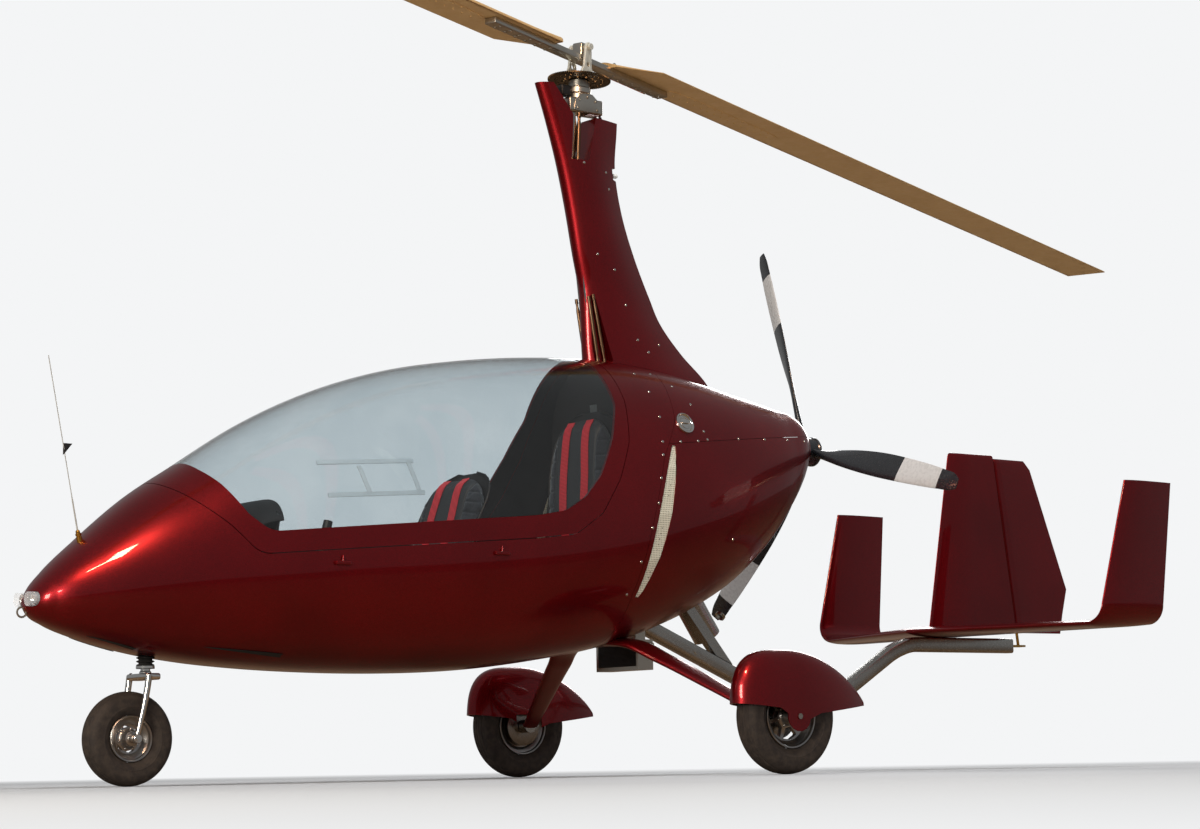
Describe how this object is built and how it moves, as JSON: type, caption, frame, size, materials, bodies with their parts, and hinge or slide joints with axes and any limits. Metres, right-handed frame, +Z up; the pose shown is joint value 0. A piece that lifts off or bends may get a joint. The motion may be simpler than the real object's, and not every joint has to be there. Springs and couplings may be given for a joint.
{
  "type": "enclosed tandem gyroplane",
  "caption": "Enclosed tandem gyroplane on wheels: side-hinged canopy, teetering rotor on a faired mast, pusher propeller, steerable nose wheel, rudder on a bent tail boom.",
  "frame": {"origin": "on the ground straight below the rotor hub, at the middle of the bounding box", "axes": "+X forward to the nose, +Y to port, +Z up"},
  "size_m": [8.1006, 2.554, 3.0186],
  "materials": {
    "painted_shell": "metallic dark red lacquer over composite",
    "glazing": "clear acrylic",
    "stainless": "brushed stainless",
    "alloy": "machined or cast",
    "rotor_alloy": "anodised extrusion",
    "black_plastic": "moulded black",
    "tyre": "black rubber",
    "gaiter_rubber": "black rubber bellows",
    "upholstery": "dark seat cover",
    "vent_mesh": "pale woven mesh",
    "brass": "brass",
    "lamp_lens": "clear lens"
  },
  "bodies": {
    "airframe": {"axle_port": "stainless", "axle_starboard": "stainless", "boom_strut": "stainless", "canopy_hinge_front": "stainless", "canopy_hinge_rear": "stainless", "canopy_latch_front": "alloy", "canopy_latch_rear": "alloy", "centre_fin": "painted_shell", "control_rod_port": "stainless", "control_rod_starboard": "stainless", "control_stick": "black_plastic", "cowl_lower": "painted_shell", "cowl_upper": "painted_shell", "engine_block": "alloy", "fender_port": "painted_shell", "fender_starboard": "painted_shell", "filler_cap": "alloy", "fuselage_tub": "painted_shell", "gear_spring": "painted_shell", "gearbox": "alloy", "headlight_port": "lamp_lens", "headlight_starboard": "lamp_lens", "instrument_panel": "black_plastic", "lower_rod_front_port": "stainless", "lower_rod_front_starboard": "stainless", "lower_rod_rear_port": "stainless", "lower_rod_rear_starboard": "stainless", "mast_fairing": "painted_shell", "mast_tube": "stainless", "nose_gaiter": "gaiter_rubber", "nose_leg_socket": "black_plastic", "oil_cooler": "alloy", "rear_bulkhead": "black_plastic", "rotor_head_block": "alloy", "rudder_bracket": "brass", "seat_front": "upholstery", "seat_rear": "upholstery", "silencer": "stainless", "tail_boom": "stainless", "tailplane": "painted_shell", "tow_ring": "stainless", "vent_mesh_port": "vent_mesh", "vent_mesh_starboard": "vent_mesh", "whip_antenna": "brass"},
    "canopy": {"canopy_frame": "painted_shell", "canopy_glass": "glazing"},
    "rotor_spindle": {"prerotator_ring": "stainless", "rotor_towers": "alloy"},
    "rotor": {"hub_bar": "alloy", "rotor_blade_aft": "rotor_alloy", "rotor_blade_fore": "rotor_alloy"},
    "propeller": {"propeller": "black_plastic"},
    "rudder": {"rudder": "painted_shell"},
    "nose_leg": {"nose_fork": "alloy"},
    "nose_wheel": {"tyre_nose": "tyre", "rim_nose": "alloy"},
    "wheel_port": {"tyre_port": "tyre", "rim_port": "alloy"},
    "wheel_starboard": {"tyre_starboard": "tyre", "rim_starboard": "alloy"}
  },
  "joints": [
    {"name": "canopy_hinge", "type": "hinge", "parent": "airframe", "child": "canopy", "pos_m": [0.5, -0.40229, 0.832], "axis": [0.9969, 0, -0.079], "range_deg": [0, 75]},
    {"name": "rotor_spin", "type": "hinge", "parent": "airframe", "child": "rotor_spindle", "pos_m": [-0.012, 0, 2.746], "axis": [-0.0698, 0, 0.9976], "continuous": true},
    {"name": "rotor_teeter", "type": "hinge", "parent": "rotor_spindle", "child": "rotor", "pos_m": [-0.012, 0, 2.746], "axis": [0.2917, -0.9563, 0.0204], "range_deg": [-8, 8]},
    {"name": "propeller_spin", "type": "hinge", "parent": "airframe", "child": "propeller", "pos_m": [-1.098, 0, 1.262], "axis": [1, 0, 0], "continuous": true},
    {"name": "rudder_hinge", "type": "hinge", "parent": "airframe", "child": "rudder", "pos_m": [-2.24, 0, 0.56], "axis": [0.1339, 0, 0.991], "range_deg": [-25, 25]},
    {"name": "nose_steer", "type": "hinge", "parent": "airframe", "child": "nose_leg", "pos_m": [1.82, 0, 0.3], "axis": [0, 0, 1], "range_deg": [-20, 20]},
    {"name": "nose_wheel_spin", "type": "hinge", "parent": "nose_leg", "child": "nose_wheel", "pos_m": [1.885, 0, 0.155], "axis": [0, 1, 0], "continuous": true},
    {"name": "wheel_port_spin", "type": "hinge", "parent": "airframe", "child": "wheel_port", "pos_m": [-0.252, 0.8105, 0.2], "axis": [0, 1, 0], "continuous": true},
    {"name": "wheel_starboard_spin", "type": "hinge", "parent": "airframe", "child": "wheel_starboard", "pos_m": [-0.252, -0.8105, 0.2], "axis": [0, 1, 0], "continuous": true}
  ]
}
